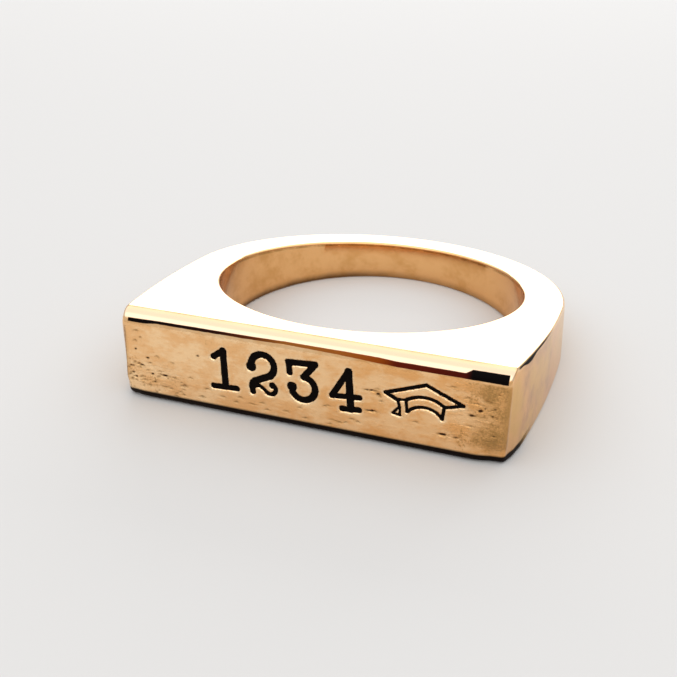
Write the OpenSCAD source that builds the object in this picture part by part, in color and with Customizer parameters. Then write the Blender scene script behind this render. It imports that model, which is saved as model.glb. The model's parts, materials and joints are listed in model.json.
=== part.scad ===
// A bar signet class ring, lying on its side as it rests on a table.
// The ring is drawn about its finger hole: x along the bar, y from the bar's face to the back of the
// band, z along the hole. It tapers from a tall bar to a low band, so it is then tipped until its
// lower side is flat on z = 0, with the bar's face towards -y.

/* [Finger hole and band] */
// Inside diameter of the finger hole
bore_d = 17.3; // [15:0.1:22]
// Thickness of the band, from the finger hole out
band_t = 2.2; // [1.6:0.1:3]
// Height of the band at the back
back_h = 2.1; // [1.6:0.1:3.5]

/* [Bar] */
// Thickness of the bar at its middle, from the finger hole to its face
bar_t = 2; // [1.4:0.1:3.2]
// Height of the bar's face
face_h = 4.9; // [4:0.1:7]
// How far each end of the bar's face lies inside the widest part of the ring
shoulder_in = 1; // [0.4:0.1:2]

/* [Edges] */
// Rounding along the top and bottom of the bar's face
face_round = 0.8; // [0.4:0.05:0.95]
// Bevel round the outside of the band and shoulders
side_bevel = 0.25; // [0.1:0.05:0.4]
// Bevel on the upright edges at the ends of the bar's face
end_bevel = 0.25; // [0.1:0.05:0.5]
// Bevel at each mouth of the finger hole
bore_bevel = 0.15; // [0.05:0.05:0.3]

/* [Stamped numerals] */
// Height of a numeral
numeral_h = 2.35; // [1.6:0.05:2.8]
// Width of a numeral's stroke
numeral_line = 0.38; // [0.2:0.02:0.44]
// Distance from one numeral to the next
numeral_step = 2.13; // [1.9:0.01:2.3]
// Middle of the row of numerals, measured from the middle of the bar
numeral_x = -1.1; // [-1.6:0.1:-0.9]
// Height of the row's middle above the middle of the face
numeral_z = 0.12; // [-0.2:0.02:0.2]

/* [Stamped cap] */
// Width of the graduation cap's board
cap_w = 3.7; // [3:0.1:4.2]
// Width of the cap's outline
cap_line = 0.2; // [0.12:0.02:0.26]
// Middle of the cap, measured from the middle of the bar
cap_x = 5.98; // [5.7:0.02:6.4]
// Height of the board's middle above the middle of the face
cap_z = 0.3; // [-0.2:0.05:0.5]

/* [Black filling] */
// Depth of the stamped grooves
groove_depth = 0.3; // [0.2:0.02:0.5]
// How far the black filling lies below the face
fill_low = 0.06; // [0.02:0.02:0.12]
// Clearance between the black filling and its groove
fill_gap = 0.02; // [0.01:0.01:0.04]

/* [Hidden] */
$fn = 96;

bore_r = bore_d / 2;
band_r = bore_r + band_t;
face_y = bore_r + bar_t;

// Half the angle between the ring's two sides, and its height at the middle of the hole
tip = atan((face_h - back_h) / 2 / (face_y + band_r));
middle_h = face_h - 2 * tan(tip) * face_y;

// Each shoulder is an arc from the band's widest point to the end of the bar's face. It starts a
// hair inside the band's circle, and stops short of the middle, so that the two cross cleanly.
shoulder_r = (pow(face_y, 2) + pow(shoulder_in, 2)) / (2 * shoulder_in);
shoulder_lap = 0.01;
shoulder_x = band_r - shoulder_lap - shoulder_r;
shoulder_stop = 0.2;

// The round on the face's edges stands this far proud of the flats, so that they cross cleanly
round_proud = 0.006;
// The balls at a stroke's ends are this much wider than it, so that strokes cross cleanly
ball_swell = 1.06;
// Straight sides of the fan that cuts an arc out of a ring
fan_sides = 5;

// Reach of the cutting shapes past the ring
past = 1;
wide = 2 * (band_r + past);
tall = face_h + 2 * past;

// Once the ring is tipped, the bottom of the face leads and the top of the back trails
lead_y = (face_round - face_y) * cos(tip) - face_round
    + ((face_round - face_y) * tan(tip) - middle_h / 2 + face_round / cos(tip)) * sin(tip);
trail_y = band_r * cos(tip) + (back_h / 2 - side_bevel) * sin(tip);

// Colours
gold = [0.86, 0.66, 0.36];
black = [0.05, 0.05, 0.05];

// Numerals from left to right: lift of each, in shares of its height, and its lean in degrees, as
// the hand that stamped it left them
numeral_lift = [-0.026, 0.026, 0.017, -0.009];
numeral_lean = [3, 4, 4, 5];

// Every figure is a table of strokes, in shares of its size, round its middle. The columns are
// "line", weight against the figure's line, start, end
// "arc", weight against the figure's line, centre, radius, first angle, last angle
// "ball", diameter, centre
one_strokes = [
    ["line", 1.05, [0.03, 0.42], [0.03, -0.4]],
    ["line", 0.9, [0.03, 0.42], [-0.2, 0.27]],
    ["line", 0.9, [-0.25, -0.42], [0.29, -0.42]]
];
two_strokes = [
    ["ball", 0.24, [-0.24, 0.15]],
    ["arc", 1, [0.02, 0.18], 0.26, -62, 170],
    ["line", 1, [0.142, -0.05], [-0.16, -0.17]],
    ["arc", 0.95, [-0.1, -0.318], 0.16, 112, 180],
    ["line", 0.9, [-0.26, -0.318], [-0.25, -0.43]],
    ["arc", 0.62, [-0.12, -0.42], 0.14, 45, 140],
    ["line", 0.62, [-0.02, -0.321], [0.075, -0.417]],
    ["arc", 0.7, [0.16, -0.332], 0.12, 225, 385],
    ["ball", 0.17, [0.215, -0.25]]
];
three_strokes = [
    ["line", 0.95, [-0.29, 0.41], [0.29, 0.41]],
    ["line", 0.9, [-0.29, 0.41], [-0.28, 0.18]],
    ["line", 0.9, [0.29, 0.4], [0.02, 0.1]],
    ["arc", 1, [0, -0.16], 0.26, -155, 82],
    ["ball", 0.23, [-0.25, -0.14]]
];
four_strokes = [
    ["line", 1.05, [0.11, 0.42], [0.11, -0.42]],
    ["line", 0.85, [0.11, 0.42], [-0.28, -0.14]],
    ["line", 0.85, [-0.28, -0.14], [0.31, -0.14]],
    ["line", 0.9, [-0.07, -0.42], [0.28, -0.42]]
];
cap_strokes = [
    ["line", 1.1, [-0.5, 0.024], [0.02, 0.22]],
    ["line", 1.1, [0.02, 0.22], [0.5, 0.02]],
    ["line", 1, [0.5, 0.02], [0.268, -0.047]],
    ["line", 1.2, [-0.5, 0.024], [-0.36, -0.045]],
    ["line", 0.85, [-0.36, -0.045], [-0.231, -0.038]],
    ["arc", 1.05, [0.013, -0.361], 0.405, 51, 127],
    ["arc", 1, [0.013, -0.385], 0.29, 36, 140],
    ["line", 0.9, [-0.231, -0.038], [-0.209, -0.199]],
    ["line", 0.9, [0.262, -0.047], [0.248, -0.214]],
    ["line", 0.9, [-0.34, -0.05], [-0.31, -0.15]],
    ["line", 0.8, [-0.31, -0.15], [-0.395, -0.25]],
    ["line", 0.75, [-0.31, -0.15], [-0.3, -0.265]],
    ["line", 0.85, [-0.395, -0.25], [-0.3, -0.265]]
];

function around(radius, angle) = radius * [cos(angle), sin(angle)];

// A straight stroke from one point to another
module line_stroke(from, to, line) {
    run = to - from;
    translate(from)
        rotate(atan2(run[1], run[0]))
            translate([0, -line / 2]) square([norm(run), line]);
    for (end = [from, to])
        translate(end) circle(d = line * ball_swell);
}

// A stroke along a circle, between two angles
module arc_stroke(radius, first, last, line) {
    turn = last - first;
    intersection() {
        difference() {
            circle(r = radius + line / 2);
            circle(r = radius - line / 2);
        }
        polygon([[0, 0], for (side = [0 : fan_sides]) around(2 * radius, first + turn * side / fan_sides)]);
    }
    for (end = [first, last])
        translate(around(radius, end)) circle(d = line * ball_swell);
}

// A whole figure from its strokes, drawn back from its outline by "inset"
module figure(strokes, size, line, inset) {
    for (stroke = strokes) {
        width = stroke[1] * line - 2 * inset;
        if (stroke[0] == "line")
            line_stroke(stroke[2] * size, stroke[3] * size, width);
        if (stroke[0] == "arc")
            translate(stroke[2] * size)
                arc_stroke(stroke[3] * size, stroke[4], stroke[5], width);
        if (stroke[0] == "ball")
            translate(stroke[2] * size) circle(d = stroke[1] * size - 2 * inset);
    }
}

// Numeral number "place" of the row, flat on the face
module numeral(place, strokes, inset) {
    from_middle = place - (len(numeral_lean) - 1) / 2;
    translate([numeral_x + from_middle * numeral_step, numeral_z + numeral_lift[place] * numeral_h])
        rotate(numeral_lean[place])
            figure(strokes, numeral_h, numeral_line, inset);
}

module cap(inset) {
    translate([cap_x, cap_z])
        figure(cap_strokes, cap_w, cap_line, inset);
}

// Stands a flat drawing on the bar's face, from "low" to "high" above it
module on_face(low, high) {
    translate([0, -face_y, 0])
        rotate([90, 0, 0])
            translate([0, 0, low])
                linear_extrude(height = high - low) children();
}

module groove() {
    on_face(-groove_depth, past) children();
}

module filling() {
    color(black)
        lay_flat()
            on_face(fill_gap - groove_depth, -fill_low) children();
}

// Tips the ring onto its lower side, with the middle of its box over the origin
module lay_flat() {
    translate([0, -(lead_y + trail_y) / 2, middle_h / 2 * cos(tip)])
        rotate([-tip, 0, 0]) children();
}

// Puts what is drawn down from z = 0 against one side of the ring, 0 for the upper and 1 for the lower
module on_side(side) {
    mirror([0, 0, side])
        translate([0, 0, middle_h / 2])
            rotate([-tip, 0, 0]) children();
}

// What a shape shares with its mirror image
module both_shoulders() {
    intersection() {
        children();
        mirror([1, 0, 0]) children();
    }
}

// The ring seen along the hole: the band's circle, and the bar between its two shoulder arcs
module outline() {
    corner_reach = band_r - shoulder_in + face_y - end_bevel;
    circle(r = band_r);
    intersection() {
        both_shoulders() translate([shoulder_x, 0]) circle(r = shoulder_r);
        translate([-wide / 2, -face_y]) square([wide, face_y - shoulder_stop]);
        rotate(45) square(corner_reach * sqrt(2), center = true);
    }
}

// The ring seen along the bar: a wedge from the face to the back
module wedge() {
    front_z = middle_h / 2 + face_y * tan(tip);
    back_z = middle_h / 2 - wide * tan(tip);
    polygon([[-face_y, -front_z], [-face_y, front_z], [wide, back_z], [wide, -back_z]]);
}

// Two rounds at the face's upper and lower edge, with all that lies between and behind them
module rounded_front() {
    round_y = face_round - face_y;
    round_z = middle_h / 2 - round_y * tan(tip) - face_round / cos(tip);
    for (side = [-1, 1])
        translate([round_y, side * round_z]) circle(r = face_round + round_proud);
    translate([round_y, -tall]) square([2 * wide, 2 * tall]);
    translate([round_y - 2 * face_round, -round_z]) square([3 * face_round, 2 * round_z]);
}

// What the bevel leaves at one side of the ring, within cones that are square to that side
module bevelled(side) {
    on_side(side)
        translate([0, 0, -tall]) {
            cylinder(h = tall, r1 = band_r - side_bevel + tall, r2 = band_r - side_bevel);
            intersection() {
                both_shoulders()
                    translate([shoulder_x, 0, 0])
                        cylinder(h = tall, r1 = shoulder_r - side_bevel + tall, r2 = shoulder_r - side_bevel);
                translate([-wide, -wide, 0]) cube([2 * wide, wide - shoulder_stop, tall]);
            }
        }
}

// The finger hole, with a bevel at each mouth whose cone runs on past the wall both ways
module finger_hole() {
    translate([0, 0, -tall / 2]) cylinder(h = tall, r = bore_r);
    for (side = [0, 1])
        on_side(side)
            translate([0, 0, -bore_bevel - past])
                cylinder(h = bore_bevel + 2 * past, r1 = bore_r - past, r2 = bore_r + bore_bevel + past);
}

module ring_body() {
    color(gold)
        lay_flat()
            difference() {
                intersection() {
                    translate([0, 0, -tall / 2])
                        linear_extrude(height = tall) outline();
                    rotate([90, 0, 90])
                        translate([0, 0, -wide / 2])
                            linear_extrude(height = wide)
                                intersection() {
                                    wedge();
                                    rounded_front();
                                }
                    bevelled(0);
                    bevelled(1);
                }
                finger_hole();
                groove() numeral(0, one_strokes, 0);
                groove() numeral(1, two_strokes, 0);
                groove() numeral(2, three_strokes, 0);
                groove() numeral(3, four_strokes, 0);
                groove() cap(0);
            }
}

module numeral_one() {
    filling() numeral(0, one_strokes, fill_gap);
}

module numeral_two() {
    filling() numeral(1, two_strokes, fill_gap);
}

module numeral_three() {
    filling() numeral(2, three_strokes, fill_gap);
}

module numeral_four() {
    filling() numeral(3, four_strokes, fill_gap);
}

module cap_outline() {
    filling() cap(fill_gap);
}

ring_body();
numeral_one();
numeral_two();
numeral_three();
numeral_four();
cap_outline();
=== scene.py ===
import json
import math

import bmesh
import bpy
from mathutils import Matrix, Vector, noise
from mathutils.bvhtree import BVHTree


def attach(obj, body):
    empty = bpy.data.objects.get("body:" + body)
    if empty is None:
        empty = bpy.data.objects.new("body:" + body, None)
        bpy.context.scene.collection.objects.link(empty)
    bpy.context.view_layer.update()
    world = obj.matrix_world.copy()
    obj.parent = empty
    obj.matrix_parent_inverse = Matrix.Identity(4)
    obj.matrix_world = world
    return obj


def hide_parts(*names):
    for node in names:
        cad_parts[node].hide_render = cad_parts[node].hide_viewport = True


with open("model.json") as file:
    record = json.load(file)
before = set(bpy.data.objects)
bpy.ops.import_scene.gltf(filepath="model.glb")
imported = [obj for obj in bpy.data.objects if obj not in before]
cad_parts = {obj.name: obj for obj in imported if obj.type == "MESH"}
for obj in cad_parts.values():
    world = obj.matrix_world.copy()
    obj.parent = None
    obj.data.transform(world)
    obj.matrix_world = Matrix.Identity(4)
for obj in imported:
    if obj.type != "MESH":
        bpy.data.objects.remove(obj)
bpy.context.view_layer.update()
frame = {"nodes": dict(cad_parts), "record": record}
print("frame loaded:", ", ".join(sorted(frame["nodes"])))

mm = 0.001    # pieces are modelled in millimetres, then brought to metres
hair = 0.001  # millimetres, a distance that counts as none


# Camera, in millimetres and degrees
cameraView = {
    "place": (14.31, -45.58, 24.58),
    "turn": 19.7,   # round to the right end of the bar
    "down": 27.5,
    "roll": -0.14,
    "lens": 48.1,
    "clip": (1, 10000),
}


def makeCamera(view):
    lens = bpy.data.cameras.new("camera")
    lens.lens = view["lens"]
    lens.clip_start, lens.clip_end = (reach * mm for reach in view["clip"])
    camera = bpy.data.objects.new("camera", lens)
    bpy.context.scene.collection.objects.link(camera)
    turn = (Matrix.Rotation(math.radians(view["turn"]), 4, "Z")
            @ Matrix.Rotation(math.radians(90 - view["down"]), 4, "X")
            @ Matrix.Rotation(math.radians(view["roll"]), 4, "Z"))
    camera.matrix_world = Matrix.Translation(Vector(view["place"]) * mm) @ turn
    bpy.context.scene.camera = camera


makeCamera(cameraView)
print("camera placed")


# Modelling helpers
def selectOnly(piece):
    bpy.ops.object.select_all(action="DESELECT")
    piece.select_set(True)
    bpy.context.view_layer.objects.active = piece


def pick(piece, kind, wanted):  # in edit mode, selects the verts, edges or faces that pass a test
    bpy.ops.mesh.select_mode(type={"verts": "VERT", "edges": "EDGE", "faces": "FACE"}[kind])
    bpy.ops.mesh.select_all(action="DESELECT")
    mesh = bmesh.from_edit_mesh(piece.data)
    mesh.normal_update()
    for item in getattr(mesh, kind):
        if wanted(item):
            item.select_set(True)
    mesh.select_flush_mode()
    bmesh.update_edit_mesh(piece.data)


def between(edge, isOne):  # an edge with a face of one sort on one side only
    return len(edge.link_faces) == 2 and isOne(edge.link_faces[0]) != isOne(edge.link_faces[1])


def applyAll(piece):
    selectOnly(piece)
    for modifier in list(piece.modifiers):
        bpy.ops.object.modifier_apply(modifier=modifier.name)


# The ring's metal, in millimetres. It is modelled round its hole, with x along the bar, y from the
# face to the back and z along the hole, then tipped onto its lower side.
metal = {
    "barThickness": 2.0,
    "bandThickness": 2.2,
    "faceHeight": 4.9,
    "backHeight": 2.1,
    "shoulderIn": 1.0,              # from the ring's widest point in to each end of the face
    "flare": {1: 1.006, -1: 1.02},  # how much longer than its middle the upper and lower side are
    "faceRound": 0.8,
    "lowerRound": 0.4,
    "sideRound": 0.2,
    "holeRound": 0.17,
    # how far the face's lower right and left corners are worn back, and how far round that reaches
    "softCorners": {1: ((-0.18, 0.2, 0.02), 1.5), -1: ((0.24, 0.08, 0.03), 1.1)},
    "faceSegments": 10, "sideSegments": 5, "holeSegments": 4,  # of those roundings
    "holeSteps": 256, "backSteps": 160, "shoulderSteps": 11,   # round the curves
    "columns": 96,  # of the net over the face, each cut again into the finer ones
    "finer": 4,
    "rows": 72,
}

holeMount = next(m for m in frame["record"]["mounts"] if m["name"] == "finger_bore")
holeRadius = holeMount["dims"]["r_mm"]
bandRadius = holeRadius + metal["bandThickness"]
faceOut = holeRadius + metal["barThickness"]
faceEnd = bandRadius - metal["shoulderIn"]
outside = holeRadius + 1  # further out than this is the outer wall, never the hole's
tip = math.atan((metal["faceHeight"] - metal["backHeight"]) / 2 / (faceOut + bandRadius))
middleHeight = metal["faceHeight"] - 2 * math.tan(tip) * faceOut
ringToCad = (Matrix.Translation(Vector(holeMount["pos_m"])) @ Matrix.Rotation(-tip, 4, "X")
             @ Matrix.Scale(mm, 4))


def makeOutline(s):  # the bar's face, whose right edge is spun round the shoulders and the back
    shoulderRadius = (faceOut ** 2 + s["shoulderIn"] ** 2) / (2 * s["shoulderIn"])
    shoulderX = bandRadius - shoulderRadius
    shoulderTurn = math.asin(faceOut / shoulderRadius)
    bpy.ops.object.select_all(action="DESELECT")
    bpy.ops.mesh.primitive_plane_add(size=2, location=(0, -faceOut, 0), rotation=(math.pi / 2, 0, 0))
    ring = bpy.context.object
    ring.name = ring.data.name = "ring_metal"
    ring.scale = (faceEnd, middleHeight / 2, 1)
    bpy.ops.object.transform_apply(location=True, rotation=True, scale=True)
    bpy.ops.object.mode_set(mode="EDIT")
    pick(ring, "edges", lambda e: all(v.co.x > 0 for v in e.verts))
    for steps, turn, centre in ((s["shoulderSteps"], shoulderTurn, shoulderX),
                                (s["backSteps"], math.pi, 0),
                                (s["shoulderSteps"], shoulderTurn, -shoulderX)):
        bpy.ops.mesh.spin(steps=steps, angle=-turn, center=(centre, 0, 0), axis=(0, 0, 1))
    bpy.ops.mesh.select_all(action="SELECT")
    bpy.ops.mesh.remove_doubles(threshold=hair)
    return ring


def closeSides(ring, s):  # the wall of the finger hole, and each flat side in two halves
    bpy.ops.mesh.primitive_cylinder_add(vertices=s["holeSteps"], radius=holeRadius, depth=middleHeight,
                                        end_fill_type="NOTHING")
    for side in (-1, 1):
        for end in (-1, 1):
            pick(ring, "verts", lambda v: v.co.z * side > 0 and v.co.x * end > 0 and abs(v.co.y) < hair)
            bpy.ops.mesh.edge_face_add()
        for half in (-1, 1):
            pick(ring, "edges", lambda e: all(v.co.z * side > 0 and v.co.y * half > -hair for v in e.verts))
            bpy.ops.mesh.edge_face_add()
    bpy.ops.mesh.select_all(action="SELECT")
    bpy.ops.mesh.normals_make_consistent(inside=False)


def tipSides(ring, s):  # each side turns about its middle, then stretches back over its old outline
    for side in (-1, 1):
        pick(ring, "verts", lambda v: v.co.z * side > 0)
        middle = (0, 0, side * middleHeight / 2)
        stretch = 1 / math.cos(tip)
        bpy.ops.transform.rotate(value=side * tip, orient_axis="X", center_override=middle)
        bpy.ops.transform.resize(value=(1, stretch, stretch), center_override=middle)
        pick(ring, "verts", lambda v: v.co.z * side > 0 and v.co.xy.length > outside)
        bpy.ops.transform.resize(value=(s["flare"][side], 1, 1), center_override=middle)


def roundEdges(ring, s):  # the face's top and bottom, then all round the outer wall, then the hole
    def outerWall(face):
        upright, notFace = abs(face.normal.z) < 0.2, face.normal.y > -0.5
        return upright and notFace and face.calc_center_median().xy.length > outside

    def holeWall(face):
        return abs(face.normal.z) < 0.05 and face.calc_center_median().xy.length < holeRadius + hair

    for side, size in ((1, s["faceRound"]), (-1, s["lowerRound"])):
        pick(ring, "edges", lambda e: all(v.co.y < hair - faceOut and v.co.z * side > 0 for v in e.verts))
        inset = size / math.tan((math.pi / 2 - tip) / 2)
        bpy.ops.mesh.bevel(offset=inset, segments=s["faceSegments"], loop_slide=False)
    pick(ring, "edges", lambda e: between(e, outerWall))
    bpy.ops.mesh.bevel(offset=s["sideRound"], segments=s["sideSegments"])
    pick(ring, "edges", lambda e: between(e, holeWall))
    bpy.ops.mesh.bevel(offset=s["holeRound"], segments=s["holeSegments"])


def netFace(ring, s):  # a fine net over the face, which the stamping is pressed into
    def span(edge, axis):
        return abs(edge.verts[0].co[axis] - edge.verts[1].co[axis])

    def onFace(edge):
        return all(v.co.y < hair - faceOut for v in edge.verts)

    def wide(edge):
        return span(edge, 0) > bandRadius

    def level(edge):
        return onFace(edge) and span(edge, 2) < hair

    def upright(edge):
        return onFace(edge) and span(edge, 2) > 1

    for wanted, pieces in ((wide, s["columns"]), (level, s["finer"]), (upright, s["rows"])):
        pick(ring, "edges", wanted)
        bpy.ops.mesh.subdivide(number_cuts=pieces - 1)


def makeMetal(s):
    ring = makeOutline(s)
    closeSides(ring, s)
    tipSides(ring, s)
    roundEdges(ring, s)
    netFace(ring, s)
    bpy.ops.object.mode_set(mode="OBJECT")
    return ring


# What the stamps and wear did to the face, in millimetres
stamping = {
    "depth": 0.3,
    "gap": 0.02,      # between the enamel and the groove's rim
    "lip": 0.09,      # width of the rounded lip outside the rim
    "lipDrop": 0.013,
    "rubbed": 0.16,   # how far the pale halo, a painted highlight, reaches from the rim
    # pits: along the bar, up the face, half length, half height, depth
    "pits": [
        (-8.54, -0.06, 0.16, 0.07, 0.05), (-8.31, -0.93, 0.14, 0.08, 0.06), (-7.58, -0.9, 0.36, 0.08, 0.07),
        (-9.58, -0.64, 0.12, 0.1, 0.05), (-9.43, -1.02, 0.1, 0.08, 0.05), (-9.3, -1.24, 0.12, 0.08, 0.05),
        (-5.66, 0.56, 0.14, 0.05, 0.04), (6.95, -1.27, 0.34, 0.09, 0.08), (7.62, -1.3, 0.2, 0.05, 0.05),
        (8.83, 0.46, 0.09, 0.08, 0.05), (9.28, 0.5, 0.1, 0.08, 0.05), (9.33, -0.88, 0.14, 0.07, 0.06),
        (8.62, 0.3, 0.2, 0.12, 0.04), (9.2, 0.12, 0.16, 0.1, 0.04), (8.3, 0.0, 0.3, 0.1, 0.03),
        (3.3, 0.36, 0.42, 0.06, 0.06), (3.8, 0.24, 0.16, 0.12, 0.05), (3.4, -0.72, 0.34, 0.08, 0.05),
        (-8.9, -0.5, 0.3, 0.05, 0.03), (-8.2, -1.35, 0.3, 0.06, 0.03), (-9.2, 0.35, 0.1, 0.08, 0.03),
    ],
    # how ragged their rims are, how fine the rags, how fast depth and painted shade fade, and where they end
    "pitRags": 0.35, "pitFine": 7, "pitFade": 2, "pitDirtFade": 2.2, "pitEnd": 1.4,
    "creaseHigh": 0.07, "creaseDeep": 0.038, "creaseDirt": 0.62,
    "creaseRags": 0.8, "creaseFine": 4, "creaseFade": 2, "creaseEnd": 1.6,
    # shallow, curved creases: along the bar, up the face, half length
    "creases": [
        (3.59, 0.37, 0.5), (3.88, 0.16, 0.15), (3.61, -0.69, 0.35), (1.3, -0.85, 0.24),
        (1.62, -1.59, 0.4), (2.53, -1.35, 0.3), (-2.18, -1.38, 0.28), (-0.89, 1.12, 0.16),
        (5.67, -0.85, 0.24), (-0.16, -1.25, 0.2), (-3.38, -1.3, 0.24), (-9.12, 1.4, 0.3),
        (-9.2, 0.83, 0.21), (-8.89, 1.07, 0.16), (-9.52, -0.64, 0.16), (-9.07, -0.44, 0.24),
        (-8.42, -0.3, 0.26), (-8.84, -0.55, 0.2), (-8.0, 0.11, 0.24), (-9.5, -1.03, 0.15),
        (-9.37, -1.23, 0.18), (-9.3, -1.41, 0.16), (-7.07, -0.93, 0.3), (-6.09, -0.75, 0.24),
        (-7.15, -0.07, 0.24), (-7.86, -0.68, 0.2), (-8.57, -0.75, 0.24), (-8.78, -1.35, 0.3),
        (-6.46, -1.3, 0.3), (-7.6, -1.5, 0.4), (8.01, 0.86, 0.3), (8.49, 0.65, 0.25), (8.92, 0.84, 0.24),
        (9.14, 0.4, 0.2), (8.82, 0.0, 0.28), (9.36, 0.05, 0.16), (8.22, -0.54, 0.24), (9.43, 1.24, 0.18),
        (9.5, -0.32, 0.15), (7.3, 1.3, 0.3), (-4.3, -1.45, 0.3), (-3.6, -1.62, 0.26), (-2.7, -1.56, 0.34),
        (-1.9, -1.72, 0.28), (-0.9, -1.6, 0.3), (3.75, 0.52, 0.22), (3.95, -0.1, 0.2), (0.1, -1.75, 0.26),
        (-5.2, -1.2, 0.3), (-5.5, -1.7, 0.34), (-7.95, -1.02, 0.21), (-6.61, -1.31, 0.23),
        (-9.63, -1.14, 0.23), (-7.85, -0.85, 0.12), (-8.51, -1.6, 0.18), (-8.13, -1.93, 0.13),
        (-9.1, -0.49, 0.21), (-9.4, -0.61, 0.12), (-7.97, -1.79, 0.1), (-6.93, -1.75, 0.13),
        (-6.43, -1.24, 0.14), (-6.53, -1.5, 0.19), (-9.29, -0.4, 0.2), (-6.5, -1.21, 0.14),
        (-8.86, -1.7, 0.12), (-9.58, -1.43, 0.18), (-9.65, -0.76, 0.15), (-9.01, -0.67, 0.17),
        (-8.99, -1.2, 0.2), (-9.59, -0.26, 0.1), (-7.44, -1.01, 0.1), (-7.29, -1.56, 0.18),
        (-9.65, -1.87, 0.13), (-6.56, -1.78, 0.21), (-6.67, -1.12, 0.15), (-8.88, -1.15, 0.21),
        (-9.5, -0.67, 0.21), (-6.98, -1.91, 0.23), (-9.53, -1.37, 0.19), (-6.72, -1.65, 0.23),
        (2.2, -1.59, 0.2), (1.39, -1.82, 0.17), (2.52, -0.9, 0.17), (1.11, -0.91, 0.23),
        (1.89, -1.66, 0.24), (2.82, -1.44, 0.21),
    ],
}


def fillingTrees():  # each black filling's walls and whole shape, in the ring's own millimetres
    trees = []
    for name, node in frame["nodes"].items():
        if name == "ring_body":
            continue
        mesh = bmesh.new()
        mesh.from_mesh(node.data)
        bmesh.ops.transform(mesh, matrix=ringToCad.inverted(), verts=mesh.verts)
        bmesh.ops.remove_doubles(mesh, verts=mesh.verts, dist=hair / 2)
        mesh.normal_update()
        whole = BVHTree.FromBMesh(mesh)
        flat = [f for f in mesh.faces if abs(f.normal.y) > 0.5]
        bmesh.ops.delete(mesh, geom=flat, context="FACES")
        walls = BVHTree.FromBMesh(mesh)
        trees.append((walls, whole))
        mesh.free()
    return trees


def nearestRim(co, trees, d):  # the way out of the nearest groove, and how far past its rim a point is
    at = Vector((co.x, d["depth"] / 2 - faceOut, co.z))
    nearest = None
    for walls, whole in trees:
        spot, _, _, away = walls.find_nearest(at, 1)
        if spot is not None and (nearest is None or away < nearest[1]):
            nearest = (spot, away, whole)
    if nearest is None:
        return None, math.inf
    out = at - nearest[0]
    out.y = 0
    away = out.length
    if away > 1e-6:  # on the wall itself there is no way out to tell
        out.normalize()
    inFront = Vector((at.x, -faceOut - 1, at.z))
    if nearest[2].ray_cast(inFront, Vector((0, 1, 0)))[0] is not None:
        out, away = -out, -away
    return out, away - d["gap"]


def wearAt(co, depth, d):  # a point's depth with its pits and creases, and how much painted shade it gets there
    shaded = 0
    for x, z, halfLength, halfHeight, low in d["pits"]:
        rags = d["pitRags"] * noise.noise(Vector((co.x, co.z, x)) * d["pitFine"])
        reach = math.hypot((co.x - x) / halfLength, (co.z - z) / halfHeight) + rags
        if reach < d["pitEnd"]:
            depth += low * math.exp(-d["pitFade"] * max(reach, 0) ** 2)
            shaded = max(shaded, math.exp(-d["pitDirtFade"] * max(reach, 0) ** 2))
    for x, z, halfLength in d["creases"]:
        ahead = (co.x - x) / halfLength
        rags = d["creaseRags"] * noise.noise(Vector((co.x, co.z, x)) * d["creaseFine"])
        reach = math.hypot(ahead, (co.z - z) / d["creaseHigh"] + ahead ** 2 + rags)
        if reach < d["creaseEnd"]:
            fade = math.exp(-d["creaseFade"] * reach ** 2)
            depth += d["creaseDeep"] * fade
            shaded = max(shaded, d["creaseDirt"] * fade)
    return depth, shaded


def stampFace(ring, s, d):
    # The net snaps to the grooves' rims, and each point is weighted by how deep it goes
    trees = fillingTrees()
    cell = 2 * faceEnd / s["columns"] / s["finer"]
    grime = ring.data.attributes.new("grime", "FLOAT", "POINT")
    rubbed = ring.data.attributes.new("rubbed", "FLOAT", "POINT")
    depths = {}
    for vertex in ring.data.vertices:
        if vertex.co.y > 10 * hair - faceOut:
            continue
        out, past = nearestRim(vertex.co, trees, d)
        if abs(past) < cell / 2:
            vertex.co.x -= out.x * past
            vertex.co.z -= out.z * past
            past = 0
        depth = 0
        if past < 0:
            depth = d["depth"]
        elif past < d["lip"]:
            depth = d["lipDrop"] * (1 - past / d["lip"]) ** 2
        if past < d["rubbed"]:
            rubbed.data[vertex.index].value = 1 - max(past, 0) / d["rubbed"]
        if depth < d["depth"]:
            depth, grime.data[vertex.index].value = wearAt(vertex.co, depth, d)
        depths[vertex.index] = depth
    pressed = ring.vertex_groups.new(name="pressed")
    for index, depth in depths.items():
        if depth > 0:
            pressed.add([index], min(depth / d["depth"], 1), "REPLACE")
    press = ring.modifiers.new("pressed", "DISPLACE")
    press.direction, press.vertex_group = "Y", "pressed"
    press.strength, press.mid_level = d["depth"], 0
    applyAll(ring)


def settle(ring, s):  # wears the corners, then tips the ring onto its lower side, in metres
    selectOnly(ring)
    bpy.ops.object.mode_set(mode="EDIT")
    for side, (push, reach) in s["softCorners"].items():
        corner = Vector((side * faceEnd, -faceOut, -s["faceHeight"] / 2))
        pick(ring, "verts", lambda v: (v.co - corner).length < s["lowerRound"] / 2)
        bpy.ops.transform.translate(value=push, use_proportional_edit=True,
                                    proportional_edit_falloff="SMOOTH", proportional_size=reach)
    bpy.ops.mesh.select_all(action="SELECT")
    bpy.ops.transform.rotate(value=tip, orient_axis="X", center_override=(0, 0, 0))
    bpy.ops.transform.translate(value=Vector(holeMount["pos_m"]) / mm)
    bpy.ops.transform.resize(value=(mm, mm, mm), center_override=(0, 0, 0))
    bpy.ops.object.mode_set(mode="OBJECT")
    bpy.ops.object.shade_smooth()
    evener = ring.modifiers.new("evener", "WEIGHTED_NORMAL")
    evener.keep_sharp = False
    applyAll(ring)


ring = makeMetal(metal)
print("metal modelled:", len(ring.data.polygons), "faces")
stampFace(ring, metal, stamping)
print("face stamped")
settle(ring, metal)
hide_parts("ring_body")
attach(ring, "root")


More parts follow.
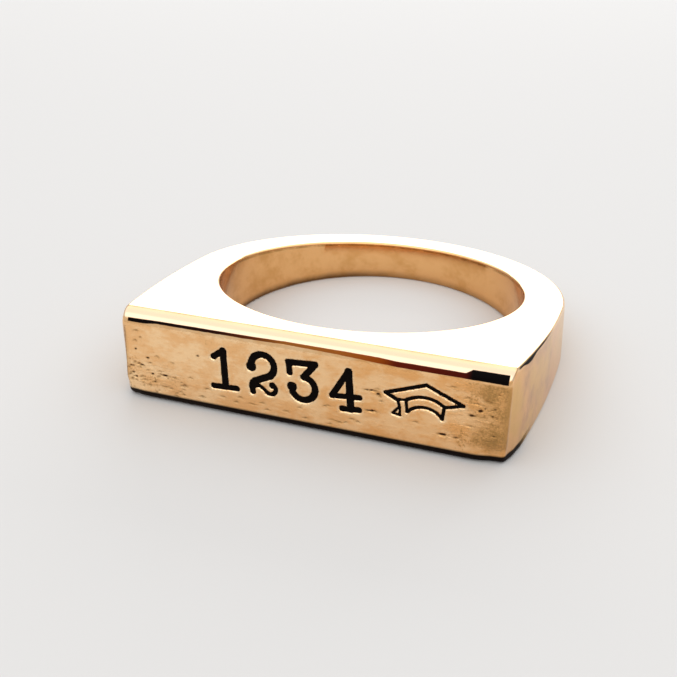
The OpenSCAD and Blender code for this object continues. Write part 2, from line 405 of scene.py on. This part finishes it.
# Node helpers
class Wire:  # a socket that can be used in sums
    def __init__(self, sheet, socket):
        self.sheet, self.socket = sheet, socket

    def sum(self, operation, *values):
        return self.sheet.add("ShaderNodeMath", {"operation": operation}, list(values))

    def __add__(self, other): return self.sum("ADD", self, other)
    def __radd__(self, other): return self.sum("ADD", other, self)
    def __sub__(self, other): return self.sum("SUBTRACT", self, other)
    def __rsub__(self, other): return self.sum("SUBTRACT", other, self)
    def __mul__(self, other): return self.sum("MULTIPLY", self, other)
    def __rmul__(self, other): return self.sum("MULTIPLY", other, self)
    def __truediv__(self, other): return self.sum("DIVIDE", self, other)
    def __rtruediv__(self, other): return self.sum("DIVIDE", other, self)
    def __pow__(self, other): return self.sum("POWER", self, other)
    def __rpow__(self, other): return self.sum("POWER", other, self)
    def __abs__(self): return self.sum("ABSOLUTE", self)

    def sway(self, most):  # a noise, to both sides of nothing
        return (self - 0.5) * most

    def ramp(self, low, high, first=0.0, last=1.0):  # a smooth step from first at low to last at high
        return self.sheet.add("ShaderNodeMapRange", {"interpolation_type": "SMOOTHSTEP"},
                              [self, low, high, first, last])


class Sheet:  # the nodes of one material or world, and the colour painted on it so far
    def __init__(self, owner):
        owner.use_nodes = True
        self.tree = owner.node_tree
        self.tree.nodes.clear()
        self.colour = None

    def add(self, kind, settings=None, sockets=None, out=0):
        node = self.tree.nodes.new(kind)
        for name, value in (settings or {}).items():
            if name == "stops":
                stops = node.color_ramp.elements
                while len(stops) < len(value):
                    stops.new(0.5)
                for stop, (place, shade) in zip(stops, value):
                    stop.position = place
                    stop.color = shade if isinstance(shade, tuple) else (shade, shade, shade, 1)
            else:
                setattr(node, name, value)
        pairs = enumerate(sockets) if isinstance(sockets, list) else (sockets or {}).items()
        for name, value in pairs:
            if isinstance(value, Wire):
                self.tree.links.new(value.socket, node.inputs[name])
            else:
                node.inputs[name].default_value = value
        return Wire(self, node.outputs[out]) if node.outputs else node

    def split(self, vector):  # its x, y and z
        return [self.add("ShaderNodeSeparateXYZ", {}, [vector], n) for n in range(3)]

    def noise(self, where, scale, detail, roughness=0.5, distortion=0):
        return self.add("ShaderNodeTexNoise", {}, {"Vector": where, "Scale": scale, "Detail": detail,
                                                   "Roughness": roughness, "Distortion": distortion})

    def blend(self, share, low, high):
        return self.add("ShaderNodeMix", {"data_type": "RGBA"}, {0: share, 6: low, 7: high}, 2)

    def paint(self, share, shade):  # lays a shade over what is painted so far
        self.colour = self.blend(share, self.colour, shade)

    def bump(self, height, distance):
        return self.add("ShaderNodeBump", {}, {"Height": height, "Distance": distance, "Strength": 1.0})

    def surface(self, sockets):
        shader = self.add("ShaderNodeBsdfPrincipled", {}, sockets)
        self.add("ShaderNodeOutputMaterial", {}, {"Surface": shader})


def ringSpace(sheet):  # the piece's own coordinates, turned into the ring's millimetres
    own = sheet.add("ShaderNodeTexCoord", {}, {}, 3)
    move = Matrix.Rotation(tip, 3, "X") @ (Vector(holeMount["pos_m"]) / -mm)
    return sheet.add("ShaderNodeMapping", {"vector_type": "POINT"}, {
        "Vector": own, "Scale": (1 / mm, 1 / mm, 1 / mm), "Rotation": (tip, 0, 0), "Location": move})


goldFinish = {
    "light": (1.0, 0.675, 0.37, 1),       # the face and the flat sides
    "deep": (0.86, 0.44, 0.16, 1),        # clouds in the light gold
    "edge": (0.95, 0.7, 0.48, 1),         # a paler gold on the face's rounded upper edge, a painted highlight
    "crest": (0.5, 0.4, 0.2, 1),          # a painted reflection, a fine line where that edge meets the flat side
    "wall": (0.76, 0.425, 0.1, 1),        # round the shoulders and the band
    "blotch": (0.38, 0.2, 0.09, 1),       # soft patches on the right shoulder
    "bore": (0.87, 0.485, 0.2, 1),        # inside the finger hole
    "boreDeep": (0.66, 0.33, 0.1, 1),     # clouds in there
    "stain": (0.42, 0.23, 0.075, 1),      # brown, on the face and along the hole's upper mouth, and a softer painted shade round pits and creases
    "grime": (0.06, 0.025, 0.01, 1),      # painted shade in pits and creases and low in the hole, and dirty spots
    "under": (0.008, 0.004, 0.003, 1),    # painted contact shadow low down, and enamel on the grooves' walls
    "rubbed": (1.0, 0.8, 0.52, 1),        # a painted highlight, the pale halo round the grooves
    "scratched": (0.16, 0.1, 0.05, 1),
    # the painted dark reflection along the face's rounded upper edge: along the bar, its lower and upper
    # height, its colour
    "line": [(-9.55, 1.81, 1.99, (0.003, 0.001, 0.001, 1)), (-8.7, 1.8, 2.0, (0.003, 0.001, 0.001, 1)),
             (-8.0, 1.88, 2.02, (0.004, 0.001, 0.001, 1)), (-4.5, 1.885, 2.03, (0.02, 0.003, 0.001, 1)),
             (-2.6, 1.9, 2.035, (0.1, 0.018, 0.002, 1)), (-1.0, 1.93, 2.06, (0.28, 0.09, 0.014, 1)),
             (1.8, 1.88, 2.06, (0.3, 0.085, 0.012, 1)), (3.7, 1.8, 2.05, (0.26, 0.05, 0.003, 1)),
             (4.5, 1.77, 2.01, (0.1, 0.009, 0.002, 1)), (7.8, 1.77, 2.01, (0.06, 0.005, 0.002, 1)),
             (8.1, 1.77, 2.17, (0.002, 0.001, 0.001, 1)), (9.75, 1.77, 2.18, (0.002, 0.001, 0.001, 1))],
    # dirty spots: place and size
    "spots": [(10.5, -6.2, -0.1, 0.11), (9.97, -9.5, -1.6, 0.1), (10.75, -2.6, -0.2, 0.12),
              (10.3, -7.9, -1.3, 0.09), (10.68, -4.3, -1.2, 0.12), (10.4, -7.2, 1.1, 0.07)],
    # fine scratches on the upper side: from x to x, y at the first and the last
    "scratches": [(0.5, 9.6, -9.7, -9.02), (6.2, 9.7, -8.75, -8.95), (-9.0, -3.0, -9.45, -9.7)],
    "scratchWidth": (0.045, 0.015),       # half widths, where it starts and where it is full
    "noises": {  # scale, detail, roughness, distortion; the first two are stretched along the bar
        "cloud": (1.2, 6, 0.6, 0), "streak": (5.0, 4, 0.6, 0.6),
        "grain": (9.0, 5, 0.7, 0), "drift": (0.42, 3, 0.55, 0), "blotch": (1.1, 6, 0.66, 0),
    },
    "stretch": (0.4, 1, 1),
    "polish": 0.06,                       # roughness of the sides and edges, and of the face
    "satin": 0.17,
    "underHeight": 0.55,                  # how far up from the floor the lower edge is dark
    "shine": 0.03,
}


class Zones:  # places on the ring in millimetres, its parts as masks from 0 to 1, and the noises
    def __init__(self, sheet, s):
        spot = ringSpace(sheet)
        along = sheet.add("ShaderNodeMapping", {"vector_type": "POINT"},
                          {"Vector": spot, "Scale": s["stretch"]})
        for name, settings in s["noises"].items():
            where = along if name in ("cloud", "streak") else spot
            setattr(self, name, sheet.noise(where, *settings))
        self.spot = spot
        self.x, self.y, self.z = x, y, z = sheet.split(spot)
        self.farX, self.farZ = farX, farZ = abs(x), abs(z)
        self.out = (x * x + y * y) ** 0.5  # distance from the hole's middle
        self.below = middleHeight / 2 - y * math.tan(tip) - farZ  # depth below the nearer flat side
        self.face = y.ramp(-9.9, -10.3) * farX.ramp(9.98, 9.9)
        self.flat = self.face * z.ramp(1.75, 1.62)  # the face below its rounded upper edge
        self.middle = self.face * farZ.ramp(1.9, 1.5) * farX.ramp(9.9, 9.75)  # where it ripples
        self.bore = self.out.ramp(8.85, 8.75) * self.below.ramp(0.02, 0.1)
        self.wall = self.out.ramp(9.2, 9.4) * self.below.ramp(0.05, 0.3) * (1 - self.face)
        self.worn = x.ramp(-6, -8) * z.ramp(0.6, -0.8) + x.ramp(6, 8)  # the face towards its ends


def paintSides(sheet, at, s):
    sheet.colour = sheet.blend(at.cloud.ramp(0.3, 0.7) * 0.3, s["light"], s["deep"])
    sheet.paint(at.wall * 0.9, sheet.blend(at.drift.ramp(0.4, 0.62), s["wall"], s["deep"]))


def paintHole(sheet, at, s):  # brown along the upper mouth, and a painted shadow towards the lower one, most on the left
    clouds = (at.drift * 0.55 + at.blotch * 0.3 + at.streak * 0.15).ramp(0.46, 0.62)
    sheet.paint(at.bore, sheet.blend(clouds * 0.65, s["bore"], s["boreDeep"]))
    mouth = at.bore * abs(at.below - 0.22).ramp(0.08, 0.03) * at.z.ramp(0, 0.2)
    sheet.paint(mouth * at.blotch.ramp(0.35, 0.55) * 0.75, s["stain"])
    # Painted shadow low in the hole, towards the floor
    foot = at.bore * (at.below + at.blotch.sway(0.3)).ramp(0.6, 0.05) * at.z.ramp(0, -0.2)
    sheet.paint(foot * at.x.ramp(1, -5, 0.4, 0.85), s["grime"])


def paintFace(sheet, at, s):
    # Paler gold over the whole face, left showing on its rounded upper edge: a painted highlight
    sheet.paint(at.face, s["edge"])
    # Clouds over the face, deeper towards the right end, partly the metal's own tone and partly painted
    # reflection
    clouds = (at.cloud * 0.45 + at.streak * 0.2 + at.blotch * 0.35).ramp(0.42, 0.58)
    tint = clouds * 0.65 + at.x.ramp(-6, 7, 0, 0.35)
    sheet.paint(at.face * at.z.ramp(2.05, 1.95), sheet.blend(tint, s["light"], s["deep"]))
    # A painted reflection: a fine line where the rounded upper edge meets the flat side
    crest = abs(at.y + 9.95 + at.streak.sway(0.06)).ramp(0.08, 0.03)
    crest = crest * at.z.ramp(1.8, 2.2) * at.farX.ramp(9.9, 9.6)
    sheet.paint(crest * at.cloud.ramp(0.35, 0.6) * 0.7, s["crest"])


def paintStains(sheet, at, s):
    # Towards the bar's right end
    stain = at.flat * at.z.ramp(-2.0, -1.35) * (at.x + at.drift.sway(4)).ramp(7.6, 9.0)
    sheet.paint(stain * 0.85, s["deep"])
    sheet.paint(stain * ((at.grain * 0.5 + at.blotch * 0.5).ramp(0.4, 0.58) * 0.75 + 0.2), s["stain"])
    # Flecks all over the face, partly the metal's own and partly painted reflection
    fleck = at.flat * (at.grain * 0.6 + at.blotch * 0.4 + at.worn * 0.07).ramp(0.61, 0.66)
    sheet.paint(fleck * 0.7, s["stain"])
    # The right shoulder
    patch = at.wall * at.x.ramp(8, 9.5) * at.y.ramp(-9.6, -8.6) * at.y.ramp(-1.5, -4.5)
    sheet.paint(patch * (at.drift * 0.5 + at.blotch * 0.5).ramp(0.4, 0.66) * 0.7, s["blotch"])
    # The face's very ends
    ends = at.face * at.farX.ramp(9.55, 9.85) * (at.farZ + at.blotch.sway(2)).ramp(1.8, 1.2)
    sheet.paint(ends * 0.6, s["stain"])


def paintLines(sheet, at, s):
    # The painted dark reflection along the face's rounded upper edge
    rows = s["line"]
    left, right = rows[0][0], rows[-1][0]
    share = (at.x - left) / (right - left)
    low, high, shade = (
        sheet.add("ShaderNodeValToRGB",
                  {"stops": [((row[0] - left) / (right - left), row[n]) for row in rows]}, [share])
        for n in (1, 2, 3))
    low, high = low + at.streak.sway(0.05), high + at.streak.sway(0.02)
    line = at.face * at.x.ramp(left - 0.03, left) * at.x.ramp(right + 0.03, right)
    line = line * (at.z - low).ramp(0, 0.03) * (at.z - high).ramp(0.03, 0)
    sheet.paint(line, shade)
    # A painted dark reflection along the right shoulder's edge, thickest in its middle
    thick = at.y.ramp(-9.3, -8.3) * at.y.ramp(-6.9, -8.1)
    rim = at.x.ramp(9.6, 9.8) * at.z.ramp(0, 0.1) * at.below.ramp(0.05, 0.09) * at.y.ramp(-3, -6)
    rim = rim * (at.below - thick * 0.15).ramp(0.18, 0.13) * at.y.ramp(-9.9, -9.6)
    sheet.paint(rim, rows[0][3])
    return line + rim


def paintWearAndPaintedLight(sheet, at, s):
    rubbed, grime = (sheet.add("ShaderNodeAttribute", {"attribute_name": name}, {}, 2)
                     for name in ("rubbed", "grime"))
    # A pale halo round the grooves, a painted highlight
    sheet.paint(rubbed * at.grain.ramp(0.35, 0.6) * 0.7, s["rubbed"])
    # A brown fringe and a dark core of painted shade in the pits and creases, then dirty spots
    sheet.paint(grime.ramp(0.05, 0.4) * 0.5, s["stain"])
    sheet.paint(grime.ramp(0.35, 0.75), s["grime"])
    for *place, size in s["spots"]:
        away = sheet.add("ShaderNodeVectorMath", {"operation": "DISTANCE"}, [at.spot, place], 1)
        sheet.paint((away + at.grain.sway(0.12)).ramp(size, size * 0.4), s["grime"])
    for first, last, start, end in s["scratches"]:
        slope = (end - start) / (last - first)
        aside = abs(at.y - start - (at.x - first) * slope + at.drift.sway(0.3))
        scratch = at.x.ramp(first, first + 1) * at.x.ramp(last, last - 1) * aside.ramp(*s["scratchWidth"])
        scratch = scratch * at.below.ramp(0.03, 0.01) * at.z.ramp(0, 0.1)
        sheet.paint(scratch * at.streak.ramp(0.35, 0.6) * 0.45, s["scratched"])


def paintUnder(sheet, at, s):
    # Painted contact shadow along the edge that the ring lies on, and enamel on the grooves' walls
    height = middleHeight / 2 - at.y * math.tan(tip) + at.z
    under = height.ramp(s["underHeight"], s["underHeight"] * 0.75)
    under = under * (at.y + at.x.ramp(5, -5) * 1.5).ramp(-6.5, -9.2) * at.out.ramp(9.0, 9.5)
    sheet.paint(under, s["under"])
    groove = at.flat * at.y.ramp(-10.6, -10.57) * at.farX.ramp(8, 7.9) * at.farZ.ramp(1.6, 1.5)
    sheet.paint(groove, s["under"])
    return under


def makeGold(s):
    material = bpy.data.materials.new("polished gold plate")
    sheet = Sheet(material)
    at = Zones(sheet, s)
    paintSides(sheet, at, s)
    paintHole(sheet, at, s)
    paintFace(sheet, at, s)
    paintStains(sheet, at, s)
    dark = paintLines(sheet, at, s)
    paintWearAndPaintedLight(sheet, at, s)
    dark = dark + paintUnder(sheet, at, s)
    paintedDark = dark.ramp(0, 1)  # the dark parts, painted dark reflections and a painted contact shadow, are neither metal nor as smooth
    rough = s["polish"] + at.flat * ((s["satin"] - s["polish"]) + at.streak.sway(0.2))
    rough = rough + at.grain.sway(0.04) + at.wall * 0.12 + at.bore * 0.1
    waves = at.cloud.sway(0.05) + at.blotch.sway(0.06) + (at.streak - 0.5) * (0.03 + at.worn * 0.05)
    height = at.middle * (waves + at.grain * 0.002) + at.grain * 0.0003
    sheet.surface({"Base Color": sheet.colour, "Roughness": rough + paintedDark * 0.3, "Metallic": 1 - paintedDark,
                   "Normal": sheet.bump(height, mm), "Specular IOR Level": s["shine"]})
    return material


enamelFinish = {
    "black": (0.001, 0.0008, 0.0008, 1),
    "worn": (0.005, 0.003, 0.0025, 1),
    "rough": 0.5,
    "shine": 0.03,
    "clouds": (5.0, 4),  # scale and detail
    "relief": 0.05,
}


def makeEnamel(s):
    material = bpy.data.materials.new("black enamel")
    sheet = Sheet(material)
    cloud = sheet.noise(ringSpace(sheet), *s["clouds"])
    sheet.surface({"Base Color": sheet.blend(cloud, s["black"], s["worn"]),
                   "Roughness": s["rough"] + cloud.sway(0.3),
                   "Normal": sheet.bump(cloud, s["relief"] * mm), "Specular IOR Level": s["shine"]})
    return material


def dress(piece, material):
    piece.data.materials.clear()
    piece.data.materials.append(material)


gold = makeGold(goldFinish)
enamel = makeEnamel(enamelFinish)
dress(ring, gold)
for name, node in frame["nodes"].items():
    dress(node, gold if name == "ring_body" else enamel)
print("finishes made")


# Floor and light
studio = {
    "floorSize": 4,  # metres
    "floor": (0.635, 0.626, 0.617, 1),
    "floorRough": 0.9,
    "behind": 1.4, "above": 1.2, "front": 1.55,  # the lit ceiling
    "round": 0.55,  # the room all round, below the ceiling
    "low": 0.66,    # the pale room low in front
    # name: place, aim, width, height (mm), brightness
    "lights": {
        "back": ((-100, 840, 250), (0, 0, 0), 1000, 360, 2.8),
    },
}


def makeFloor(s):
    bpy.ops.object.select_all(action="DESELECT")
    bpy.ops.mesh.primitive_plane_add(size=s["floorSize"], location=(0, 0, 0))
    floor = bpy.context.object
    floor.name = "floor"
    material = bpy.data.materials.new("pale floor")
    Sheet(material).surface({"Base Color": s["floor"], "Roughness": s["floorRough"]})
    dress(floor, material)


def makeLights(s):
    for name, (place, aim, width, height, bright) in s["lights"].items():
        lamp = bpy.data.lights.new(name, "AREA")
        lamp.shape, lamp.size, lamp.size_y = "RECTANGLE", width * mm, height * mm
        lamp.energy = bright * math.pi * width * mm * height * mm
        box = bpy.data.objects.new(name, lamp)
        bpy.context.scene.collection.objects.link(box)
        box.location = Vector(place) * mm
        box.rotation_euler = (Vector(place) - Vector(aim)).to_track_quat("Z", "Y").to_euler()
        box.visible_camera = False


def makeRoom(s):
    world = bpy.data.worlds.new("room")
    bpy.context.scene.world = world
    sheet = Sheet(world)
    _, back, up = sheet.split(sheet.add("ShaderNodeTexCoord"))
    ceiling = back.ramp(0.6, 0.1, s["behind"], s["above"]) + back.ramp(-0.1, -0.4, 0, s["front"] - s["above"])
    around = back.ramp(0.1, -0.3, s["round"], s["low"])
    glow = around + up.ramp(0.35, 0.6) * (ceiling - around)
    colour = sheet.add("ShaderNodeCombineColor", {}, [glow, glow, glow])
    background = sheet.add("ShaderNodeBackground", {}, {"Color": colour})
    sheet.add("ShaderNodeOutputWorld", {}, {"Surface": background})
    bpy.context.scene.view_settings.view_transform = "Standard"


makeFloor(studio)
makeLights(studio)
makeRoom(studio)
print("studio lit")
